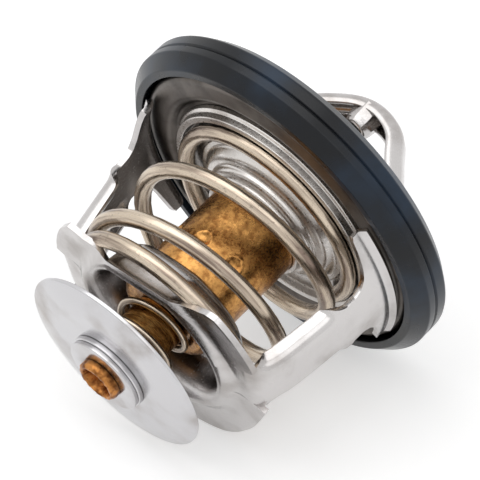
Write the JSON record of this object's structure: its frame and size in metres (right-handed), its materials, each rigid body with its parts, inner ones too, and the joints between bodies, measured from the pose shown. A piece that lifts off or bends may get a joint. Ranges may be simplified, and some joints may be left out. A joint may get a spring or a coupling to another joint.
{
  "type": "engine_thermostat",
  "caption": "Wax element engine coolant thermostat with rubber rim seal, stamped steel frame, main spring and sprung bypass disc",
  "frame": {"origin": "on the axis of the thermostat, in the mid plane of its rubber rim seal", "axes": "+Z along the axis toward the upper bridge and the engine side, +X toward one leg of the lower frame, right-handed"},
  "size_m": [0.056, 0.056, 0.0597],
  "materials": {
    "seal_rubber": "satin moulded",
    "stamped_steel": "tumbled bright",
    "disc_steel": "satin",
    "spring_wire": "drawn, straw tinted",
    "element_brass": "mottled",
    "stem_copper": "rough spun",
    "piston_steel": "ground",
    "wax_mix": "cast"
  },
  "bodies": {
    "frame": {"seal_ring": "seal_rubber", "flange": "stamped_steel", "upper_bridge": "stamped_steel", "lower_frame": "stamped_steel", "piston": "piston_steel", "main_spring": "spring_wire"},
    "valve_group": {"main_valve": "stamped_steel", "retaining_cap": "stamped_steel", "element_cup": "element_brass", "piston_guide": "element_brass", "retaining_ring": "disc_steel", "packing_washer": "disc_steel", "rubber_boot": "seal_rubber", "wax_charge": "wax_mix", "bypass_stem": "stem_copper", "bypass_washer_inner": "disc_steel", "bypass_washer_outer": "disc_steel", "bypass_spring": "spring_wire"},
    "bypass": {"bypass_disc": "disc_steel"}
  },
  "joints": [
    {"name": "valve_lift", "type": "slide", "parent": "frame", "child": "valve_group", "axis": [0, 0, -1], "range_m": [0, 0.008], "stiffness_N_per_m": 6000, "springref_m": -0.004, "deforming": ["main_spring"]},
    {"name": "bypass_give", "type": "slide", "parent": "valve_group", "child": "bypass", "axis": [0, 0, 1], "range_m": [0, 0.003], "stiffness_N_per_m": 1500, "springref_m": -0.002, "deforming": ["bypass_spring"]}
  ]
}
